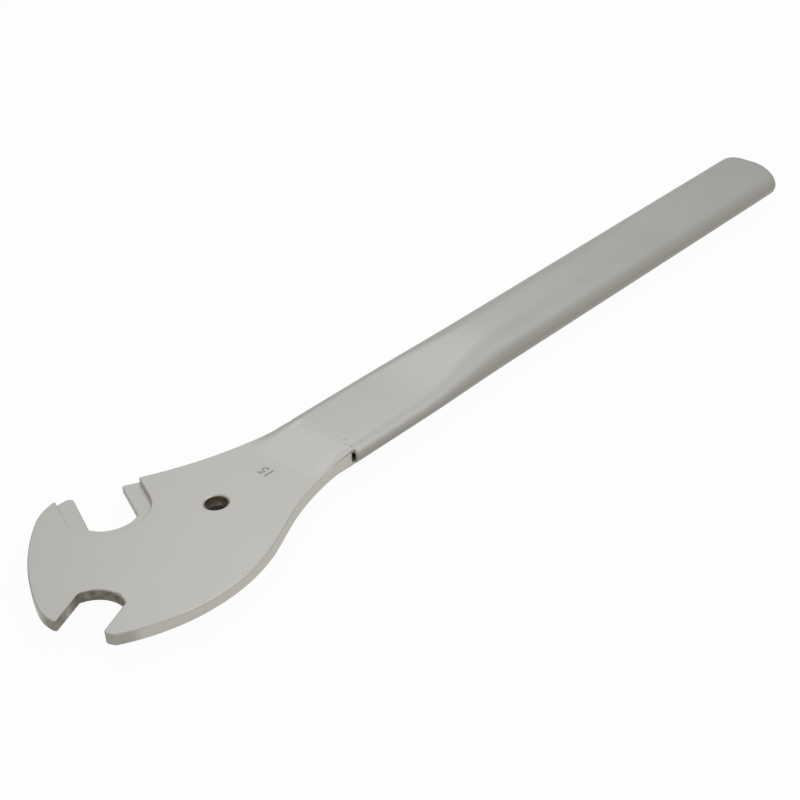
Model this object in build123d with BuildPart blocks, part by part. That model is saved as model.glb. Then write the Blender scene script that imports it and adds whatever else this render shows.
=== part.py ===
"""Pedal wrench: a blanked steel head plate with two open jaws, welded into a flattened tube handle.

Millimetres. The origin is the centre of the hanging hole, on the middle plane of the head plate.
+X runs along the handle, away from the head. +Z is normal to the plate, on the side where one jaw is relieved.
"""
from build123d import *
from math import cos, radians, sin, sqrt
import os

# Head plate
plate_thickness = 4.0
hole_diameter = 7.3
hole_break = 0.3

# Both jaws take the same flats, and an arc at the bottom clears the corners of the axle
jaw_width = 15.0
throat_radius = 10.0
tip_round = 1.6
mouth_overrun = 3.0

# Front jaw: the bottom of its throat, the way it opens, and the square cut across its mouth
front_throat = (-47.5, -7.3)
front_angle = 202.5
front_depth = 16.6
lower_prong_tip = 3.6

# Side jaw: the same, with a milled relief that thins the plate around it from above
side_throat = (-25.9, 15.6)
side_angle = 67.5
side_depth = 21.7
side_slant = 1.1
relief_depth = 1.8
relief_radius = 13.1
relief_margin = 4.3

# Outline of the head: the brow beside the front jaw, the crown, the nape, the neck, and the belly below
brow_low = (-64.6, 2.6)
brow_mid = (-54.7, 20.4)
brow_high = (-41.0, 35.0)
crown_end = (-23.5, 38.7)
nape = (-13.0, 33.1)
neck_waist = (20.0, 18.2)
belly_low = (-26.2, -33.4)
belly_end = (0.0, -27.2)
belly_straight = 9.0

# Neck, and the tang that the handle swallows
neck_half_width = 14.1
shoulder_length = 1.0
tang_half_width = 11.8
tang_length = 18.0
tang_corner = 3.0

# Handle: a round tube pressed flat over the tang and left oval where the hand holds it
tube_wall = 1.6
mouth_x = 45.0
handle_length = 238.0
pressed_width = 30.8
pressed_length = 30.0
spread_length = 48.0
grip_width = 27.0
grip_height = 14.4
grip_flat = 8.0
end_break = 0.4

# Weld ground to a ramp on each face, from the plate up to the outside of the tube's mouth
weld_length = 14.0
weld_half_width = 12.6
weld_corner = 4.0

half_plate = plate_thickness / 2
half_jaw = jaw_width / 2
pressed_height = plate_thickness + 2 * tube_wall
past_the_blank = side_depth + 4 * mouth_overrun


def along(origin, angle, forward, sideways=0.0):
    """The point forward of an origin and to its left, as seen along an angle in the plate's plane."""
    turn = radians(angle)
    return (
        origin[0] + forward * cos(turn) - sideways * sin(turn),
        origin[1] + forward * sin(turn) + sideways * cos(turn),
    )


def jaw_outline(throat, angle, left_depth, right_depth):
    """One jaw: an arc at the bottom, parallel flats, and prong tips that round off into a square mouth."""
    clear = half_jaw + tip_round + mouth_overrun
    left_side = along(throat, angle, throat_rise, half_jaw)
    right_side = along(throat, angle, throat_rise, -half_jaw)
    left_lip = along(throat, angle, left_depth - tip_round, half_jaw)
    right_lip = along(throat, angle, right_depth - tip_round, -half_jaw)
    left_end = along(throat, angle, left_depth, half_jaw + tip_round)
    right_end = along(throat, angle, right_depth, -half_jaw - tip_round)
    forward = Vector(*along((0, 0), angle, 1))
    ThreePointArc(left_side, throat, right_side)
    Line(right_side, right_lip)
    TangentArc(right_lip, right_end, tangent=forward)
    Polyline(
        right_end,
        along(throat, angle, right_depth, -clear),
        along(throat, angle, past_the_blank, -clear),
        along(throat, angle, past_the_blank, clear),
        along(throat, angle, left_depth, clear),
        left_end,
    )
    TangentArc(left_lip, left_end, tangent=forward)
    Line(left_lip, left_side)


throat_rise = throat_radius - sqrt(throat_radius**2 - half_jaw**2)
mouth_high = along(front_throat, front_angle, front_depth, tip_round - half_jaw)
mouth_low = along(front_throat, front_angle, front_depth, half_jaw + lower_prong_tip)
shoulder_x = mouth_x - shoulder_length
tang_end_x = mouth_x + tang_length

with BuildPart() as head_plate:
    with BuildSketch(Plane.XY.offset(-half_plate)) as blank:
        with BuildLine():
            belly = ThreePointArc(mouth_low, belly_low, belly_end)
            run_out = Line(belly @ 1, belly @ 1 + belly_straight * (belly % 1))
            TangentArc(run_out @ 1, (shoulder_x, -neck_half_width), tangent=run_out % 1)
            Polyline(
                (shoulder_x, -neck_half_width),
                (mouth_x, -tang_half_width),
                (tang_end_x, -tang_half_width),
                (tang_end_x, tang_half_width),
                (mouth_x, tang_half_width),
                (shoulder_x, neck_half_width),
            )
            ThreePointArc((shoulder_x, neck_half_width), neck_waist, nape)
            Polyline(nape, along(side_throat, side_angle, side_depth + mouth_overrun), crown_end)
            brow = ThreePointArc(brow_low, brow_mid, brow_high)
            TangentArc(brow_high, crown_end, tangent=brow % 1)
            TangentArc(brow_low, mouth_high, tangent=-(brow % 0))
            Polyline(mouth_high, along(front_throat, front_angle, front_depth + 2 * mouth_overrun), mouth_low)
        make_face()
        Circle(hole_diameter / 2, mode=Mode.SUBTRACT)
    extrude(amount=plate_thickness)

    # The edges of the hole are broken before anything else is cut
    faces = head_plate.faces().filter_by(Axis.Z)
    chamfer([face.inner_wires()[0].edges()[0] for face in faces], hole_break)
    for side in (-tang_half_width, tang_half_width):
        corner = head_plate.edges().filter_by(Axis.Z).sort_by_distance((tang_end_x, side, 0))[0]
        fillet(corner, tang_corner)

    # Both jaws, blanked right through
    with BuildSketch(Plane.XY.offset(-half_plate)):
        with BuildLine():
            jaw_outline(front_throat, front_angle, front_depth, front_depth)
        make_face()
        with BuildLine():
            jaw_outline(side_throat, side_angle, side_depth, side_depth - side_slant)
        make_face()
    extrude(amount=plate_thickness, mode=Mode.SUBTRACT)

    # The relief around the side jaw, milled down from the upper face
    with BuildSketch(Plane.XY.offset(half_plate - relief_depth)):
        with BuildLine():
            start = along(side_throat, side_angle, relief_radius - relief_margin, relief_radius)
            bottom = along(side_throat, side_angle, -relief_margin)
            end = along(side_throat, side_angle, relief_radius - relief_margin, -relief_radius)
            ThreePointArc(start, bottom, end)
            Polyline(
                end,
                along(side_throat, side_angle, past_the_blank, -relief_radius),
                along(side_throat, side_angle, past_the_blank, relief_radius),
                start,
            )
        make_face()
    extrude(amount=relief_depth, mode=Mode.SUBTRACT)
head_plate.part.label = "head_plate"


# The tube keeps its girth: pressed flat over the tang, it spreads back to the oval of the grip
pressed_flat = pressed_width - pressed_height
pressed_end_x = mouth_x + pressed_length
handle_end_x = mouth_x + handle_length
spread_end_x = pressed_end_x + spread_length
spread_steps = 5
run_in = 5.0


def tube_face(x, inset):
    """The tube's outline at a place along it: a flat above and below, and half an ellipse at each side."""
    share = min(max((x - pressed_end_x) / spread_length, 0), 1)
    ease = share * share * (3 - 2 * share)
    half_width = (pressed_width + ease * (grip_width - pressed_width)) / 2 - inset
    half_height = (pressed_height + ease * (grip_height - pressed_height)) / 2 - inset
    half_flat = (pressed_flat + ease * (grip_flat - pressed_flat)) / 2
    reach = half_width - half_flat
    with BuildSketch(Plane.YZ.offset(x)) as section:
        with BuildLine():
            Line((-half_flat, -half_height), (half_flat, -half_height))
            EllipticalCenterArc((half_flat, 0), reach, half_height, start_angle=-90, arc_size=180)
            Line((half_flat, half_height), (-half_flat, half_height))
            EllipticalCenterArc((-half_flat, 0), reach, half_height, start_angle=90, arc_size=180)
        make_face()
    return section.sketch


# The outside first, then the bore, each as the pressed stretch, the spread and the grip
spread_from = pressed_end_x - run_in
spread_to = spread_end_x + run_in
steps = [pressed_end_x + spread_length * step / spread_steps for step in range(spread_steps + 1)]
with BuildPart() as handle_tube:
    for inset, mode in ((0, Mode.ADD), (tube_wall, Mode.SUBTRACT)):
        extrude(tube_face(mouth_x, inset), amount=spread_from - mouth_x, mode=mode)
        loft([tube_face(x, inset) for x in (spread_from, *steps, spread_to)], mode=mode)
        extrude(tube_face(spread_to, inset), amount=handle_end_x - spread_to, mode=mode)
    chamfer(handle_tube.faces().sort_by(Axis.X)[-1].edges(), end_break)
handle_tube.part.label = "handle_tube"


# One ground weld on each face, in the step between the plate and the tube's mouth
with BuildPart() as weld_seam:
    with BuildSketch(Plane.XZ.offset(-weld_half_width)):
        with BuildLine():
            foot = (mouth_x - weld_length, half_plate)
            top = (mouth_x, pressed_height / 2)
            Polyline(foot, (mouth_x, half_plate), top)
            Spline(top, foot, tangents=((-1, 0), (-1, 0)))
        make_face()
    extrude(amount=2 * weld_half_width)
    with BuildSketch(Plane.XY.offset(half_plate)) as plan:
        with Locations((mouth_x, 0)):
            RectangleRounded(2 * weld_length, 2 * weld_half_width, weld_corner)
    extrude(amount=tube_wall, mode=Mode.INTERSECT)
    mirror(about=Plane.XY)
weld_seam.part.label = "weld_seam"

os.makedirs("parts", exist_ok=True)
export_step(head_plate.part, "parts/head_plate.step")
export_step(handle_tube.part, "parts/handle_tube.step")
export_step(weld_seam.part, "parts/weld_seam.step")
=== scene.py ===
"""Looks of a pedal wrench: a blanked steel plate with two open jaws, welded into a flattened tube handle.

Everything is in metres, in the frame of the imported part: +X along the handle, +Z normal to the plate,
and the origin in the middle of the hanging hole.
"""
from math import cos, hypot, pi, radians, sin, sqrt

import bmesh
import bpy
from mathutils import Matrix, Vector, noise


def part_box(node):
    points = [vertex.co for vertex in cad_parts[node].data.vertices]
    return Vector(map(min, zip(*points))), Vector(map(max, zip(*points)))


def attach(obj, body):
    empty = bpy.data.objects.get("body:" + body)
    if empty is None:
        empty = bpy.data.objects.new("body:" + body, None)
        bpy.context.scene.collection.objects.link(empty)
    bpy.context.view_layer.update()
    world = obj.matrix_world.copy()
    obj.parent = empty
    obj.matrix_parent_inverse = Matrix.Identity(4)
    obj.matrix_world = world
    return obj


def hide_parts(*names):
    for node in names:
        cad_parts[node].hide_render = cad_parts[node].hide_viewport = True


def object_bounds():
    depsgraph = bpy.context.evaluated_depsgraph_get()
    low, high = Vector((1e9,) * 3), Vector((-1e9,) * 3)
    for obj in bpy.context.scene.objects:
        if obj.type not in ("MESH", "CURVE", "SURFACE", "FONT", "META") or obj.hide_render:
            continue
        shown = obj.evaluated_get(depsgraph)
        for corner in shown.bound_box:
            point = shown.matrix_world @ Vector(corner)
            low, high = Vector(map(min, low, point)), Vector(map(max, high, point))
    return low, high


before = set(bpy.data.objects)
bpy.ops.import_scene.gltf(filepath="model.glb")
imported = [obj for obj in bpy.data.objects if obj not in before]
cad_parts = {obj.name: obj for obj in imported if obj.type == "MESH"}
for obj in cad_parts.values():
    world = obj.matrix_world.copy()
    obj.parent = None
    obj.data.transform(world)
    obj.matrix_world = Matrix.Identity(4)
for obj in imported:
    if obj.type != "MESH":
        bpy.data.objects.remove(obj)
cad_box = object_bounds()

MM = 0.001
ROOT = "root"
WHITE = (1, 1, 1, 1)

# Points that are one point, and faces that are one flat
SAME_PLACE = 0.001 * MM
SAME_PLANE = radians(0.4)

# The camera, from a perspective fit of the plate's edges, the hole and the handle in the photograph
CAMERA_PLACE = Vector((-0.25476, -0.33723, 0.29999))
CAMERA_AZIMUTH = 45.185
CAMERA_DIP = 32.472
CAMERA_ROLL = -4.074
CAMERA_NEAR = 0.01
FOCAL_PIXELS = 1717.8
PHOTO_PIXELS = 800
SENSOR_MM = 36.0

# The floor: how far it lies under the tube, its grey, and its share of white for the camera and for the metal
FLOOR_DROP = 0.2 * MM
FLOOR_SIZE = 4.0
FLOOR_GREY = 0.75
BACKDROP_SHARE = 0.96
GLOSSY_SHARE = 0.58

# The painted shadow: a spot of floor under the plate, painted dark, which shows only through the hanging hole
SHADE_GREY = 0.09
SHADE_PLACE = (6.3 * MM, 8.3 * MM)
SHADE_FULL = 2.6 * MM
SHADE_END = 3.6 * MM

# The studio's walls and ceiling: how each axis lifts a direction's level, and the tones from dim to bright
LIGHT_LEAN = (0.25, -0.15, 0.85)
DIM_LEVEL = 0.20
DIM_TONE = (0.42, 0.41, 0.37)
BRIGHT_LEVEL = 0.95
BRIGHT_TONE = (0.75, 0.75, 0.74)

# The plating: its textures on the piece's own coordinates, and what the clouds and the walls change; the
# walls' tone paints light on the plate and shade on the tube, and reaches the underside in part
CLOUD_NOISE = {"Scale": 38.0, "Detail": 3.0, "Roughness": 0.55}
GRAIN_NOISE = {"Scale": 2600.0, "Detail": 2.0}
FINE_NOISE = {"Scale": 700.0, "Detail": 3.0}
NOISE_MIDDLE = 0.5
GRAIN_SHARE = 0.6
BUMP_STRENGTH = 0.35
CLOUD_ROUGHENS = 1.2
WALL_ROUGHENS = 0.08
WALL_CURVE = 0.7
UNDERSIDE_SHARE = 0.4

# The painted shade on the walls, a dark brown: its blotches, and how soon it gives way where a wall turns
# level
PAINTED_SHADE_TONE = (0.098, 0.079, 0.046, 1)
PAINTED_SHADE_NOISE = {"Scale": 420.0, "Detail": 3.0}
PAINTED_SHADE_SWING = 0.9
PAINTED_SHADE_LEAST = 0.5
PAINTED_SHADE_SLOPE = 1.6

# The sockets of a Mix node that hold colors, because their names stand for other kinds too
COLOR_A = 6
COLOR_B = 7
COLOR_RESULT = 2


def shader_tree(material):
    """Empties a material's node tree and returns it with its output node."""
    material.use_nodes = True
    tree = material.node_tree
    tree.nodes.clear()
    return tree, tree.nodes.new("ShaderNodeOutputMaterial")


def add_node(tree, kind, values=None, **properties):
    """A new node with some of its properties and input values set."""
    node = tree.nodes.new(kind)
    for name, value in properties.items():
        setattr(node, name, value)
    for name, value in (values or {}).items():
        node.inputs[name].default_value = value
    return node


def feed(tree, operand, socket):
    """Gives an input what it works with: the output of another node, or a value."""
    if isinstance(operand, bpy.types.NodeSocket):
        tree.links.new(operand, socket)
    else:
        socket.default_value = operand


def maths(tree, operation, first, second=None, third=None, clamp=False):
    """The result of a Math node: each operand is a number or an output socket."""
    node = add_node(tree, "ShaderNodeMath", operation=operation, use_clamp=clamp)
    for operand, socket in zip((first, second, third), node.inputs):
        if operand is not None:
            feed(tree, operand, socket)
    return node.outputs[0]


def share_between(tree, value, start, end, smooth=False):
    """How far a value has come from a start to an end, from 0 to 1."""
    steps = "SMOOTHSTEP" if smooth else "LINEAR"
    node = add_node(tree, "ShaderNodeMapRange", interpolation_type=steps, clamp=True)
    for operand, name in ((value, "Value"), (start, "From Min"), (end, "From Max")):
        feed(tree, operand, node.inputs[name])
    return node.outputs[0]


def mixed_color(tree, share, first, second):
    """The result of a Mix node for colors: the first at a share of 0, the second at 1."""
    mix = add_node(tree, "ShaderNodeMix", data_type="RGBA")
    for operand, key in ((share, "Factor"), (first, COLOR_A), (second, COLOR_B)):
        feed(tree, operand, mix.inputs[key])
    return mix.outputs[COLOR_RESULT]


def mixed_shader(tree, share, first, second):
    """The result of a Mix Shader node: the first at a share of 0, the second at 1."""
    mix = add_node(tree, "ShaderNodeMixShader")
    for operand, socket in zip((share, first, second), mix.inputs):
        tree.links.new(operand, socket)
    return mix.outputs[0]


def group_socket(group, name, direction, kind, default=None):
    """Adds a named input or output to a node group."""
    socket = group.interface.new_socket(name=name, in_out=direction, socket_type=kind)
    if default is not None:
        socket.default_value = default


def noise_texture(tree, place, settings):
    """The value of a noise texture on a piece's own coordinates."""
    texture = add_node(tree, "ShaderNodeTexNoise", settings)
    tree.links.new(place.outputs["Object"], texture.inputs["Vector"])
    return texture.outputs["Fac"]


def facing_up(tree, place):
    """How much a surface faces up, from 0 on a wall to 1 on top: the underside counts in part."""
    normal = add_node(tree, "ShaderNodeSeparateXYZ")
    tree.links.new(place.outputs["Normal"], normal.inputs[0])
    underneath = maths(tree, "MULTIPLY", normal.outputs["Z"], -UNDERSIDE_SHARE)
    return maths(tree, "MAXIMUM", normal.outputs["Z"], underneath)


def eased(share):
    """A share held between 0 and 1, made to start and end level."""
    share = min(max(share, 0.0), 1.0)
    return share * share * (3 - 2 * share)


def blasted_plating_group():
    """Satin plating over blasted steel: clouded tone, fine grain, and a tone for the walls that paints them
    lighter or darker than the face, as painted light and shade.
    """
    group = bpy.data.node_groups.new("blasted_plating", "ShaderNodeTree")
    group_socket(group, "Face", "INPUT", "NodeSocketColor")
    group_socket(group, "Wall", "INPUT", "NodeSocketColor")
    group_socket(group, "Roughness", "INPUT", "NodeSocketFloat")
    group_socket(group, "Cloud", "INPUT", "NodeSocketFloat")
    group_socket(group, "Grain", "INPUT", "NodeSocketFloat")
    group_socket(group, "Color", "OUTPUT", "NodeSocketColor")
    group_socket(group, "Roughness", "OUTPUT", "NodeSocketFloat")
    group_socket(group, "Height", "OUTPUT", "NodeSocketFloat")
    inputs = group.nodes.new("NodeGroupInput").outputs
    outputs = group.nodes.new("NodeGroupOutput").inputs
    place = group.nodes.new("ShaderNodeTexCoord")
    cloud = noise_texture(group, place, CLOUD_NOISE)
    grain = noise_texture(group, place, GRAIN_NOISE)
    fine = noise_texture(group, place, FINE_NOISE)

    # Painted light and shade: walls, and the underside in part, take the Wall tone in place of the face's
    level = maths(group, "POWER", facing_up(group, place), WALL_CURVE)
    wall = maths(group, "SUBTRACT", 1.0, level, clamp=True)
    tone = mixed_color(group, wall, inputs["Face"], inputs["Wall"])

    cloud_swing = maths(group, "MULTIPLY", maths(group, "SUBTRACT", cloud, NOISE_MIDDLE), inputs["Cloud"])
    grain_swing = maths(group, "MULTIPLY", maths(group, "SUBTRACT", grain, NOISE_MIDDLE), inputs["Grain"])
    brightness = maths(group, "ADD", maths(group, "ADD", cloud_swing, grain_swing), 1.0)
    shade = add_node(group, "ShaderNodeVectorMath", operation="SCALE")
    group.links.new(tone, shade.inputs[0])
    group.links.new(brightness, shade.inputs["Scale"])
    group.links.new(shade.outputs[0], outputs["Color"])

    rough = maths(group, "ADD", inputs["Roughness"], maths(group, "MULTIPLY", cloud_swing, CLOUD_ROUGHENS))
    rough = maths(group, "ADD", rough, maths(group, "MULTIPLY", wall, WALL_ROUGHENS))
    group.links.new(rough, outputs["Roughness"])
    fine_height = maths(group, "MULTIPLY", fine, 1 - GRAIN_SHARE)
    height = maths(group, "MULTIPLY_ADD", grain, GRAIN_SHARE, fine_height)
    group.links.new(height, outputs["Height"])
    return group


def painted_wall_shade_group():
    """Painted shade on the upright walls around a spot: a mask that fades out with distance."""
    group = bpy.data.node_groups.new("painted_wall_shade", "ShaderNodeTree")
    group_socket(group, "Spot", "INPUT", "NodeSocketVector")
    group_socket(group, "Full", "INPUT", "NodeSocketFloat")
    group_socket(group, "End", "INPUT", "NodeSocketFloat")
    group_socket(group, "Amount", "INPUT", "NodeSocketFloat")
    group_socket(group, "Mask", "OUTPUT", "NodeSocketFloat")
    inputs = group.nodes.new("NodeGroupInput").outputs
    outputs = group.nodes.new("NodeGroupOutput").inputs
    place = group.nodes.new("ShaderNodeTexCoord")
    away = add_node(group, "ShaderNodeVectorMath", operation="DISTANCE")
    group.links.new(place.outputs["Object"], away.inputs[0])
    group.links.new(inputs["Spot"], away.inputs[1])
    gone = share_between(group, away.outputs["Value"], inputs["Full"], inputs["End"], smooth=True)
    near = maths(group, "SUBTRACT", 1.0, gone)
    level = maths(group, "MULTIPLY", facing_up(group, place), PAINTED_SHADE_SLOPE)
    wall = maths(group, "SUBTRACT", 1.0, level, clamp=True)
    blotch = noise_texture(group, place, PAINTED_SHADE_NOISE)
    patchy = maths(group, "MULTIPLY_ADD", blotch, PAINTED_SHADE_SWING, PAINTED_SHADE_LEAST)
    mask = maths(group, "MULTIPLY", maths(group, "MULTIPLY", near, wall), patchy)
    mask = maths(group, "MULTIPLY", mask, inputs["Amount"], clamp=True)
    group.links.new(mask, outputs["Mask"])
    return group


PLATING = blasted_plating_group()
PAINTED_WALL_SHADE = painted_wall_shade_group()


def with_painted_shade(tree, color, spots):
    """The color with the painted shade of some spots over it: each spot holds the values of the shade's
    inputs.
    """
    most = 0.0
    for spot in spots:
        painted_spot = add_node(tree, "ShaderNodeGroup", spot, node_tree=PAINTED_WALL_SHADE)
        most = maths(tree, "MAXIMUM", painted_spot.outputs["Mask"], most)
    return mixed_color(tree, most, color, PAINTED_SHADE_TONE)


def plated_steel(name, face, wall, roughness, cloud, grain, grain_depth, spots=()):
    """A plated steel material with its own tones, among them a wall tone of painted light and shade, from the
    shared plating, with painted shade at some spots.
    """
    material = bpy.data.materials.new(name)
    tree, output = shader_tree(material)
    values = {"Face": (*face, 1), "Wall": (*wall, 1), "Roughness": roughness, "Cloud": cloud, "Grain": grain}
    plating = add_node(tree, "ShaderNodeGroup", values, node_tree=PLATING)
    bump = add_node(tree, "ShaderNodeBump", {"Strength": BUMP_STRENGTH, "Distance": grain_depth})
    shader = add_node(tree, "ShaderNodeBsdfPrincipled", {"Metallic": 1.0})
    # Painted shade at the spots, over the plating's color
    color = with_painted_shade(tree, plating.outputs["Color"], spots) if spots else plating.outputs["Color"]
    tree.links.new(color, shader.inputs["Base Color"])
    tree.links.new(plating.outputs["Roughness"], shader.inputs["Roughness"])
    tree.links.new(plating.outputs["Height"], bump.inputs["Height"])
    tree.links.new(bump.outputs["Normal"], shader.inputs["Normal"])
    tree.links.new(shader.outputs["BSDF"], output.inputs["Surface"])
    return material


# Where painted shade darkens the plate's walls: brown in the front jaw's throat, fainter at its two prongs,
# dark in the hanging hole, and a trace in the side jaw's throat
PLATE_PAINTED_SHADE = (
    {"Spot": (-47.5 * MM, -7.3 * MM, 0.0), "Full": 7 * MM, "End": 16 * MM, "Amount": 0.80},
    {"Spot": (-65.1 * MM, -8.2 * MM, 0.0), "Full": 4 * MM, "End": 11 * MM, "Amount": 0.62},
    {"Spot": (-58.6 * MM, -23.9 * MM, 0.0), "Full": 3 * MM, "End": 9 * MM, "Amount": 0.38},
    {"Spot": (0.0, 0.0, 0.0), "Full": 4 * MM, "End": 5 * MM, "Amount": 1.05},
    {"Spot": (-25.9 * MM, 15.6 * MM, 0.0), "Full": 6 * MM, "End": 14 * MM, "Amount": 0.25},
)

FACE_TONE = (0.495, 0.488, 0.470)
# The plate's walls are painted lighter than its face: painted light
plate_finish = plated_steel(
    "plated_plate", face=FACE_TONE, wall=(0.60, 0.587, 0.53),
    roughness=0.50, cloud=0.07, grain=0.05, grain_depth=0.02 * MM, spots=PLATE_PAINTED_SHADE,
)
# The tube's flanks and underside are painted darker than its face: painted shade
tube_finish = plated_steel(
    "plated_tube", face=FACE_TONE, wall=(0.36, 0.35, 0.31),
    roughness=0.52, cloud=0.12, grain=0.05, grain_depth=0.02 * MM,
)
weld_finish = plated_steel(
    "plated_weld", face=FACE_TONE, wall=(0.50, 0.485, 0.44),
    roughness=0.50, cloud=0.08, grain=0.06, grain_depth=0.03 * MM,
)
stamp_finish = plated_steel(
    "stamped_figure", face=(0.40, 0.39, 0.37), wall=(0.36, 0.35, 0.33),
    roughness=0.55, cloud=0.05, grain=0.05, grain_depth=0.02 * MM,
)


def merged_sheet(node_name):
    """A bmesh of a CAD part with its loose triangles merged and its flat faces joined up."""
    sheet = bmesh.new()
    sheet.from_mesh(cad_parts[node_name].data)
    bmesh.ops.remove_doubles(sheet, verts=sheet.verts, dist=SAME_PLACE)
    bmesh.ops.dissolve_limit(sheet, angle_limit=SAME_PLANE, verts=sheet.verts, edges=sheet.edges)
    return sheet


def placed_piece(name, mesh, material):
    """A new object at the origin, with one finish."""
    mesh.materials.clear()
    mesh.materials.append(material)
    piece = bpy.data.objects.new(name, mesh)
    bpy.context.scene.collection.objects.link(piece)
    return piece


def applied(piece):
    """Turns a piece's modifiers into its mesh."""
    graph = bpy.context.evaluated_depsgraph_get()
    finished = bpy.data.meshes.new_from_object(piece.evaluated_get(graph))
    piece.modifiers.clear()
    piece.data = finished


# Head plate: edges rounded before plating, most along the upper edge of the belly
PLATE_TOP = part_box("head_plate")[1][2]
RIM_ROUND = 0.45 * MM
BELLY_ROUND = 1.4 * MM
CORNER_ROUND = 0.9 * MM
BELLY_MIDDLE_X = -24 * MM
BELLY_REACH = 30 * MM
BELLY_Y = -10 * MM
TOP_SLACK = 0.1 * MM
ROUND_SEGMENTS = 3
SHARP_ANGLE = radians(30)
UPRIGHT_SHARE = 0.9

# Its shading: the upward part of a normal above which a face is a flat, and below which it is a wall,
# and the turn that makes a crease between two walls
FLAT_NORMAL = 0.999
WALL_NORMAL = 0.02
CREASE = cos(radians(42))

# The size figure, stamped beside the hole and read from the side of the handle
FIGURE = "15"
FIGURE_PLACE = (20.4 * MM, -0.4 * MM)
FIGURE_HEIGHT = 3.5 * MM
FIGURE_BOLD = 0.16 * MM
FIGURE_DEPTH = 0.11 * MM
FIGURE_TURN = radians(90)
FIGURE_IN_FONT = 0.7


def corner_normal(face, corner_faces):
    """The shading normal of one corner of the plate: flats stay flat, and roundings run into them."""
    tilt = abs(face.normal.z)
    if tilt > FLAT_NORMAL:
        return face.normal.copy()
    flats = [other for other in corner_faces
             if abs(other.normal.z) > FLAT_NORMAL and other.normal.z * face.normal.z > 0]
    if tilt > WALL_NORMAL and flats:
        return flats[0].normal.copy()
    walls = [other for other in corner_faces if abs(other.normal.z) < WALL_NORMAL]
    near = [other for other in walls or corner_faces if other.normal.dot(face.normal) > CREASE]
    if not near:
        return face.normal.copy()
    return sum((other.normal * other.calc_area() for other in near), Vector((0, 0, 0))).normalized()


def set_plate_normals(mesh):
    """Writes the plate's shading normals."""
    sheet = bmesh.new()
    sheet.from_mesh(mesh)
    corners = ((face, corner) for face in sheet.faces for corner in face.loops)
    normals = [tuple(corner_normal(face, list(corner.vert.link_faces))) for face, corner in corners]
    sheet.free()
    mesh.shade_smooth()
    mesh.normals_split_custom_set(normals)


def stamp_cutter():
    """The figure as solid strokes that reach from inside the plate to above its face."""
    curve = bpy.data.curves.new("figure", "FONT")
    curve.body = FIGURE
    curve.size = FIGURE_HEIGHT / FIGURE_IN_FONT
    curve.align_x = "CENTER"
    curve.align_y = "CENTER"
    curve.extrude = 2 * FIGURE_DEPTH
    curve.offset = FIGURE_BOLD
    letter = bpy.data.objects.new("figure", curve)
    bpy.context.scene.collection.objects.link(letter)
    graph = bpy.context.evaluated_depsgraph_get()
    mesh = bpy.data.meshes.new_from_object(letter.evaluated_get(graph))
    bpy.data.objects.remove(letter)
    lift = Matrix.Translation((*FIGURE_PLACE, PLATE_TOP + FIGURE_DEPTH))
    mesh.transform(lift @ Matrix.Rotation(FIGURE_TURN, 4, "Z"))
    strokes = bmesh.new()
    strokes.from_mesh(mesh)
    bmesh.ops.remove_doubles(strokes, verts=strokes.verts, dist=SAME_PLACE)
    bmesh.ops.recalc_face_normals(strokes, faces=strokes.faces)
    strokes.to_mesh(mesh)
    strokes.free()
    return placed_piece("stamp_cutter", mesh, stamp_finish)


def belly_share(edge):
    """How much of the belly's softer rounding an edge has, from 0 to 1."""
    middle = (edge.verts[0].co + edge.verts[1].co) / 2
    if middle.y > BELLY_Y or middle.z < PLATE_TOP - TOP_SLACK:
        return 0.0
    return 1 - eased(abs(middle.x - BELLY_MIDDLE_X) / BELLY_REACH)


def rounding(edge):
    """How wide an edge of the plate is rounded."""
    rise = abs(edge.verts[0].co.z - edge.verts[1].co.z)
    if rise > UPRIGHT_SHARE * edge.calc_length() and edge.is_convex:
        return CORNER_ROUND
    return RIM_ROUND + (BELLY_ROUND - RIM_ROUND) * belly_share(edge)


def rounded_plate():
    """The head plate with its edges rounded and the size figure stamped in."""
    sheet = merged_sheet("head_plate")
    weights = sheet.edges.layers.float.new("bevel_weight_edge")
    for edge in sheet.edges:
        if len(edge.link_faces) == 2 and edge.calc_face_angle() > SHARP_ANGLE:
            edge[weights] = rounding(edge) / BELLY_ROUND
    mesh = bpy.data.meshes.new("plate_body")
    sheet.to_mesh(mesh)
    sheet.free()
    plate = placed_piece("plate_body", mesh, plate_finish)
    rims = plate.modifiers.new("rims", "BEVEL")
    rims.limit_method = "WEIGHT"
    rims.width = BELLY_ROUND
    rims.segments = ROUND_SEGMENTS
    rims.use_clamp_overlap = False
    cutter = stamp_cutter()
    stamp = plate.modifiers.new("stamp", "BOOLEAN")
    stamp.operation = "DIFFERENCE"
    stamp.solver = "EXACT"
    stamp.object = cutter
    stamp.material_mode = "TRANSFER"
    applied(plate)
    bpy.data.objects.remove(cutter)
    set_plate_normals(plate.data)
    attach(plate, ROOT)
    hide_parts("head_plate")


# The tube: a tight fold over the tang that spreads to the oval of the grip
MOUTH_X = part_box("handle_tube")[0][0]
TUBE_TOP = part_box("weld_seam")[1][2]
PRESSED_LENGTH = 30 * MM
SPREAD_LENGTH = 48 * MM
TUBE_SIZES = {
    "Mouth X": MOUTH_X,
    "Length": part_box("handle_tube")[1][0] - MOUTH_X,
    "Wall": 1.6 * MM,
    "Rim Round": 0.4 * MM,
    "Spread Start": MOUTH_X + PRESSED_LENGTH,
    "Spread End": MOUTH_X + PRESSED_LENGTH + SPREAD_LENGTH,
    "Pressed Half Width": 15.4 * MM,
    "Pressed Half Height": TUBE_TOP,
    "Pressed Corner Width": 5.2 * MM,
    "Pressed Corner Height": 3.6 * MM,
    "Grip Half Width": 13.5 * MM,
    "Grip Half Height": 7.2 * MM,
    "Grip Corner Width": 11.0 * MM,
    "Grip Corner Height": 7.2 * MM,
}
TUBE_STATIONS = 260
TUBE_CORNERS = 96

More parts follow.
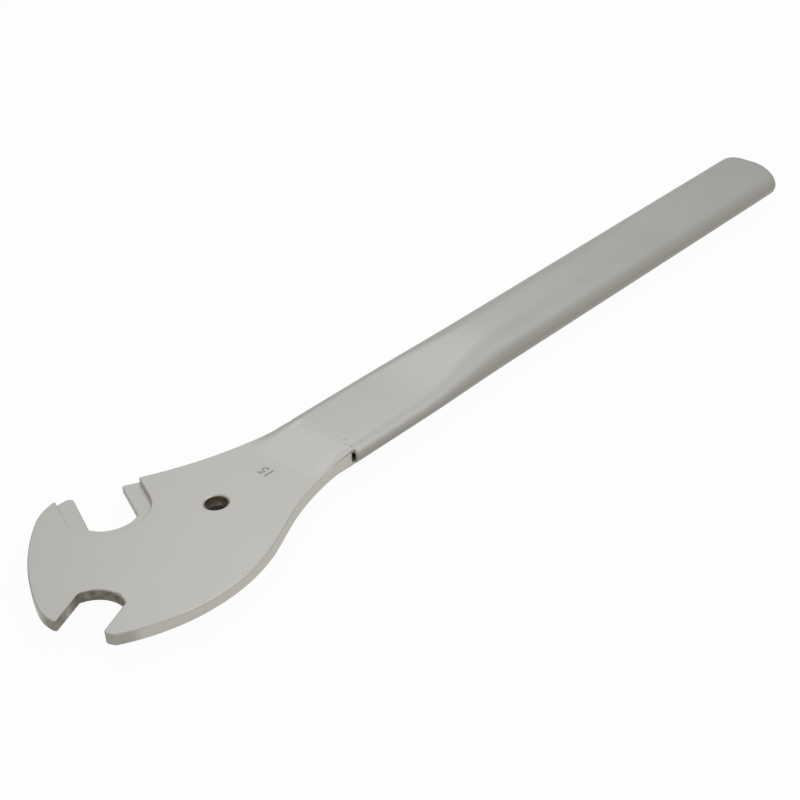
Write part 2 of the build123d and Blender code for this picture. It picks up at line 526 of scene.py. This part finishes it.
# Where the tube's sheet turns on its way out and back, as shares of its travel, and how square its rims are
FAR_RIM_START = 0.47
FAR_RIM_END = 0.52
MOUTH_RIM_START = 0.98
RIM_POWER = 3.0

# The weld between the plate and the tube's mouth, ground to a ramp by hand: where it starts and ends,
# how wide it is at most and over the tube, how far inside the plate's rim it stays, and how deep its root
# goes into the plate
WELD_REACH = 20 * MM
WELD_START_X = MOUTH_X - WELD_REACH
WELD_END_X = MOUTH_X + 3 * MM
WELD_WIDEST = 14.7 * MM
WELD_END_WIDTH = 13.7 * MM
WELD_RIM = 0.4 * MM
WELD_ROOT = 0.4 * MM
WELD_ROWS = 90
WELD_COLUMNS = 100
WELD_CREASE = radians(50)

# How far the weld stands proud of the tube at the mouth, and dips below the steel at both of its ends
WELD_PROUD = 0.015 * MM
WELD_SINK = 0.02 * MM

# The ripple that grinding by hand leaves: more at both sides near the mouth, and none over the tube
RIPPLE = 0.05 * MM
EDGE_RIPPLE = 0.28 * MM
RIPPLE_LENGTH = 3 * MM
EDGE_Y = 7 * MM
EDGE_X = MOUTH_X - 6 * MM
EDGE_FADE = 5 * MM
CALM_X = MOUTH_X - 0.4 * MM
CALM_FADE = 1.2 * MM

# Small beads that the grinding left at the mouth
WELD_BEADS = ((46.0 * MM, 10.6 * MM), (46.1 * MM, -9.2 * MM), (44.6 * MM, -12.4 * MM))
BEAD_RADIUS = 1.2 * MM
BEAD_RISE = 0.16 * MM

# Which points of the plate's upper face are the neck's edge: near the mouth, and this far from the middle
NECK_LENGTH = 30 * MM
NECK_LEAST_Y = 12.7 * MM
FACE_SLACK = 0.01 * MM
X_DIGITS = 7


def weld_height(x, y):
    """How high the ground weld stands over the plate's face: at the mouth it takes the tube's outline."""
    corner = TUBE_SIZES["Pressed Corner Width"]
    over = max(abs(y) - (TUBE_SIZES["Pressed Half Width"] - corner), 0.0) / corner
    outline = TUBE_TOP * sqrt(max(1 - over * over, 0.0)) - PLATE_TOP
    climb = eased((x - WELD_START_X) / WELD_REACH)
    proud = WELD_PROUD - (WELD_PROUD + WELD_SINK) * eased((x - MOUTH_X) / (WELD_END_X - MOUTH_X))
    at_edge = eased((abs(y) - EDGE_Y) / EDGE_FADE) * eased((x - EDGE_X) / EDGE_FADE)
    ripple = (RIPPLE + (EDGE_RIPPLE - RIPPLE) * at_edge) * (1 - eased((x - CALM_X) / CALM_FADE))
    hand = ripple * noise.noise(Vector((x, y, 0)) / RIPPLE_LENGTH)
    bead = sum(BEAD_RISE * (1 - eased(hypot(x - at_x, y - at_y) / BEAD_RADIUS)) for at_x, at_y in WELD_BEADS)
    return (outline + proud + WELD_SINK + hand) * climb - WELD_SINK + bead


def neck_outline(side):
    """The neck's edge on one side of the plate's upper face, as pairs of x and distance from the middle."""
    points = [vert.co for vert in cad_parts["head_plate"].data.vertices]
    upper = [co for co in points if co.z > PLATE_TOP - FACE_SLACK and side * co.y > NECK_LEAST_Y]
    pairs = {(round(co.x, X_DIGITS), side * co.y) for co in upper}
    return sorted(pair for pair in pairs if MOUTH_X - NECK_LENGTH < pair[0] < MOUTH_X)


def weld_half_width(outline, x):
    """How far the weld reaches sideways: to just inside the plate's rounded rim, and less over the tube."""
    for (x_before, before), (x_after, after) in zip(outline, outline[1:]):
        if x < x_after:
            edge = before + (after - before) * (x - x_before) / (x_after - x_before)
            return min(edge - WELD_RIM, WELD_WIDEST)
    return WELD_END_WIDTH


def weld_rows(sheet, left, right, face_side):
    """The points of the weld's ground surface on one face, in rows across the neck."""
    rows = []
    for step in range(WELD_ROWS + 1):
        x = WELD_START_X + (WELD_END_X - WELD_START_X) * step / WELD_ROWS
        start = -weld_half_width(right, x)
        end = weld_half_width(left, x)
        row = []
        for column in range(WELD_COLUMNS + 1):
            y = start + (end - start) * column / WELD_COLUMNS
            row.append(sheet.verts.new((x, y, face_side * (PLATE_TOP + weld_height(x, y)))))
        rows.append(row)
    return rows


def add_weld_run(sheet, left, right, face_side):
    """One run of the weld as a closed shell: the ground surface, a skirt around it, and the root."""
    rows = weld_rows(sheet, left, right, face_side)
    for near, far in zip(rows, rows[1:]):
        for index in range(WELD_COLUMNS):
            corners = (near[index], far[index], far[index + 1], near[index + 1])
            sheet.faces.new(corners if face_side > 0 else corners[::-1])
    rim = [edge for edge in sheet.edges if edge.is_boundary]
    skirt = bmesh.ops.extrude_edge_only(sheet, edges=rim)["geom"]
    for item in skirt:
        if isinstance(item, bmesh.types.BMVert):
            item.co.z = face_side * (PLATE_TOP - WELD_ROOT)
    root = [item for item in skirt if isinstance(item, bmesh.types.BMEdge) and item.is_boundary]
    bmesh.ops.holes_fill(sheet, edges=root, sides=0)


def ground_weld():
    """The weld on both faces: a long ramp, ground flush with the tube, right across the neck."""
    left = neck_outline(1)
    right = neck_outline(-1)
    sheet = bmesh.new()
    for face_side in (1, -1):
        add_weld_run(sheet, left, right, face_side)
    bmesh.ops.recalc_face_normals(sheet, faces=sheet.faces)
    mesh = bpy.data.meshes.new("ground_weld")
    sheet.to_mesh(mesh)
    sheet.free()
    mesh.shade_smooth()
    mesh.set_sharp_from_angle(angle=WELD_CREASE)
    weld = placed_piece("ground_weld", mesh, weld_finish)
    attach(weld, ROOT)
    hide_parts("weld_seam")


def tube_travel(tree, sizes, travel):
    """Where a share of the travel lies along the tube, and how deep in its wall."""
    out = share_between(tree, travel, 0.0, FAR_RIM_START)
    back = share_between(tree, travel, FAR_RIM_END, MOUTH_RIM_START)
    inwards = share_between(tree, travel, FAR_RIM_START, FAR_RIM_END)
    outwards = share_between(tree, travel, MOUTH_RIM_START, 1.0)
    out_share = maths(tree, "SUBTRACT", out, back)
    in_share = maths(tree, "SUBTRACT", inwards, outwards)
    inset = maths(tree, "MULTIPLY", in_share, sizes["Wall"])

    # Each rim bulges outwards at the middle of the wall, to be round
    off_middle = maths(tree, "ABSOLUTE", maths(tree, "MULTIPLY_ADD", in_share, 2.0, -1.0))
    swell = maths(tree, "SUBTRACT", 1.0, maths(tree, "POWER", off_middle, RIM_POWER))
    swell = maths(tree, "MULTIPLY", swell, maths(tree, "MULTIPLY_ADD", out_share, 2.0, -1.0))
    rounded = maths(tree, "MULTIPLY", sizes["Rim Round"], maths(tree, "ADD", swell, 1.0))
    straight = maths(tree, "MULTIPLY_ADD", sizes["Rim Round"], -2.0, sizes["Length"])
    along = maths(tree, "ADD", sizes["Mouth X"], maths(tree, "MULTIPLY", straight, out_share))
    return maths(tree, "ADD", along, rounded), inset


def tube_sections(tree, sizes, along, inset):
    """The four sizes of the tube's section at a place along it, at a depth in the wall."""
    spread = share_between(tree, along, sizes["Spread Start"], sizes["Spread End"], smooth=True)
    sections = []
    for key in ("Half Width", "Half Height", "Corner Width", "Corner Height"):
        change = maths(tree, "SUBTRACT", sizes["Grip " + key], sizes["Pressed " + key])
        size = maths(tree, "MULTIPLY_ADD", change, spread, sizes["Pressed " + key])
        sections.append(maths(tree, "SUBTRACT", size, inset))
    return sections


def section_offset(tree, half_size, corner_size, direction):
    """One coordinate of the section: the middle of its elliptical corner, and the corner's own part."""
    flat = maths(tree, "SUBTRACT", half_size, corner_size)
    middle = maths(tree, "MULTIPLY", flat, maths(tree, "SIGN", direction))
    return maths(tree, "MULTIPLY_ADD", corner_size, direction, middle)


def pressed_tube_tree():
    """The handle as a node tree: one closed sheet, out along the outside and back along the bore."""
    tree = bpy.data.node_groups.new("pressed_tube", "GeometryNodeTree")
    group_socket(tree, "Geometry", "OUTPUT", "NodeSocketGeometry")
    for name, value in TUBE_SIZES.items():
        group_socket(tree, name, "INPUT", "NodeSocketFloat", value)
    group_socket(tree, "Finish", "INPUT", "NodeSocketMaterial", tube_finish)
    sizes = tree.nodes.new("NodeGroupInput").outputs
    output = tree.nodes.new("NodeGroupOutput")

    # A unit grid gives the travel along the wall and the turn around the section
    grid_sizes = {"Size X": 1.0, "Size Y": 1.0, "Vertices X": TUBE_STATIONS, "Vertices Y": TUBE_CORNERS + 1}
    grid = add_node(tree, "GeometryNodeMeshGrid", grid_sizes)
    place = add_node(tree, "ShaderNodeSeparateXYZ")
    tree.links.new(add_node(tree, "GeometryNodeInputPosition").outputs[0], place.inputs[0])
    travel = maths(tree, "ADD", place.outputs["X"], 0.5)
    turn = maths(tree, "MULTIPLY_ADD", place.outputs["Y"], 2 * pi, pi + pi / TUBE_CORNERS)

    along, inset = tube_travel(tree, sizes, travel)
    half_width, half_height, corner_width, corner_height = tube_sections(tree, sizes, along, inset)
    across = section_offset(tree, half_width, corner_width, maths(tree, "COSINE", turn))
    height = section_offset(tree, half_height, corner_height, maths(tree, "SINE", turn))
    point = add_node(tree, "ShaderNodeCombineXYZ")
    for name, value in (("X", along), ("Y", across), ("Z", height)):
        tree.links.new(value, point.inputs[name])

    move = add_node(tree, "GeometryNodeSetPosition")
    tree.links.new(point.outputs[0], move.inputs["Position"])
    close = add_node(tree, "GeometryNodeMergeByDistance", {"Distance": SAME_PLACE})
    smooth = add_node(tree, "GeometryNodeSetShadeSmooth")
    real = add_node(tree, "GeometryNodeRealizeInstances")
    dress = add_node(tree, "GeometryNodeSetMaterial")
    tree.links.new(sizes["Finish"], dress.inputs["Material"])
    chain = (grid, move, close, smooth, real, dress, output)
    for before, after in zip(chain, chain[1:]):
        tree.links.new(before.outputs[0], after.inputs[0])
    return tree


def pressed_tube():
    """The handle's tube as a plain mesh, with its faces outwards."""
    tube = placed_piece("pressed_tube", bpy.data.meshes.new("pressed_tube"), tube_finish)
    tube.modifiers.new("pressing", "NODES").node_group = pressed_tube_tree()
    applied(tube)
    sheet = bmesh.new()
    sheet.from_mesh(tube.data)
    bmesh.ops.recalc_face_normals(sheet, faces=sheet.faces)
    sheet.to_mesh(tube.data)
    sheet.free()
    tube.data.shade_smooth()
    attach(tube, ROOT)
    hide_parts("handle_tube")


def photo_camera():
    """The camera of the photograph: place, direction, roll and focal length."""
    azimuth, dip, roll = (radians(angle) for angle in (CAMERA_AZIMUTH, CAMERA_DIP, CAMERA_ROLL))
    ahead = Vector((cos(azimuth) * cos(dip), sin(azimuth) * cos(dip), -sin(dip)))
    level = Vector((sin(azimuth), -cos(azimuth), 0))
    upward = level.cross(ahead)
    right = cos(roll) * level + sin(roll) * upward
    top = -sin(roll) * level + cos(roll) * upward
    data = bpy.data.cameras.new("photo_camera")
    data.sensor_width = SENSOR_MM
    data.lens = SENSOR_MM * FOCAL_PIXELS / PHOTO_PIXELS
    data.clip_start = CAMERA_NEAR
    camera = bpy.data.objects.new("photo_camera", data)
    turn = Matrix((right, top, -ahead)).transposed().to_4x4()
    camera.matrix_world = Matrix.Translation(CAMERA_PLACE) @ turn
    bpy.context.scene.collection.objects.link(camera)
    bpy.context.scene.camera = camera


def floor_material(lowest):
    """Near white for the camera, greyer in the metal's reflections, and paper that takes the shadow, with a
    spot of painted shadow under the plate.
    """
    material = bpy.data.materials.new("white_floor")
    tree, output = shader_tree(material)
    place = add_node(tree, "ShaderNodeTexCoord")
    # Painted shadow: the paper darkens near a spot under the plate, and the backdrop's white gives way there
    away = add_node(tree, "ShaderNodeVectorMath", {1: (*SHADE_PLACE, lowest)}, operation="DISTANCE")
    tree.links.new(place.outputs["Object"], away.inputs[0])
    beyond_painted_shadow = share_between(tree, away.outputs["Value"], SHADE_FULL, SHADE_END)
    grey = maths(tree, "MULTIPLY_ADD", beyond_painted_shadow, FLOOR_GREY - SHADE_GREY, SHADE_GREY)
    paper = add_node(tree, "ShaderNodeBsdfDiffuse")
    tree.links.new(grey, paper.inputs["Color"])
    glow = add_node(tree, "ShaderNodeEmission", {"Color": WHITE})

    # From below, the floor has no painted shadow spot
    below = add_node(tree, "ShaderNodeNewGeometry").outputs["Backfacing"]
    backdrop = maths(tree, "MULTIPLY", maths(tree, "MAXIMUM", beyond_painted_shadow, below), BACKDROP_SHARE)
    path = add_node(tree, "ShaderNodeLightPath").outputs
    seen = maths(tree, "MULTIPLY", path["Is Camera Ray"], backdrop)
    mirrored = maths(tree, "MAXIMUM", path["Is Glossy Ray"], path["Is Transmission Ray"])
    share = maths(tree, "ADD", seen, maths(tree, "MULTIPLY", mirrored, GLOSSY_SHARE), clamp=True)
    surface = mixed_shader(tree, share, paper.outputs[0], glow.outputs[0])
    tree.links.new(surface, output.inputs["Surface"])
    return material


def white_floor():
    """A pale floor under the wrench, which the camera sees as white with a faint shadow."""
    lowest = cad_box[0][2] - FLOOR_DROP
    half = FLOOR_SIZE / 2
    mesh = bpy.data.meshes.new("floor")
    corners = [(-half, -half, lowest), (half, -half, lowest), (half, half, lowest), (-half, half, lowest)]
    mesh.from_pydata(corners, [], [(0, 1, 2, 3)])
    floor = placed_piece("floor", mesh, floor_material(lowest))


def studio_world():
    """White for the camera; for the light and reflections dim below and bright above."""
    world = bpy.data.worlds.new("studio")
    bpy.context.scene.world = world
    world.use_nodes = True
    tree = world.node_tree
    tree.nodes.clear()
    output = add_node(tree, "ShaderNodeOutputWorld")
    place = add_node(tree, "ShaderNodeTexCoord")
    lift = add_node(tree, "ShaderNodeVectorMath", {1: LIGHT_LEAN}, operation="DOT_PRODUCT")
    tree.links.new(place.outputs["Generated"], lift.inputs[0])
    level = share_between(tree, lift.outputs["Value"], -1.0, 1.0)
    ramp = add_node(tree, "ShaderNodeValToRGB")
    dim, bright = ramp.color_ramp.elements
    dim.position = DIM_LEVEL
    dim.color = (*DIM_TONE, 1)
    bright.position = BRIGHT_LEVEL
    bright.color = (*BRIGHT_TONE, 1)
    tree.links.new(level, ramp.inputs[0])
    studio = add_node(tree, "ShaderNodeBackground")
    tree.links.new(ramp.outputs[0], studio.inputs["Color"])
    white = add_node(tree, "ShaderNodeBackground", {"Color": WHITE})
    path = add_node(tree, "ShaderNodeLightPath").outputs
    surface = mixed_shader(tree, path["Is Camera Ray"], studio.outputs[0], white.outputs[0])
    tree.links.new(surface, output.inputs["Surface"])


def softbox(name, place, target, size, watts):
    """A square area lamp that faces a target."""
    data = bpy.data.lights.new(name, "AREA")
    data.shape = "SQUARE"
    data.size = size
    data.energy = watts
    lamp = bpy.data.objects.new(name, data)
    lamp.location = place
    lamp.rotation_euler = (Vector(target) - Vector(place)).to_track_quat("-Z", "Y").to_euler()
    bpy.context.scene.collection.objects.link(lamp)


rounded_plate()
ground_weld()
pressed_tube()

photo_camera()
white_floor()
studio_world()
softbox("key_box", place=(0.27, 0.29, 0.48), target=(0.04, 0.0, 0.0), size=0.36, watts=0.46)
softbox("side_box", place=(0.22, -0.36, 0.50), target=(-0.02, -0.02, 0.0), size=0.45, watts=0.82)

bpy.context.scene.view_settings.view_transform = "Standard"
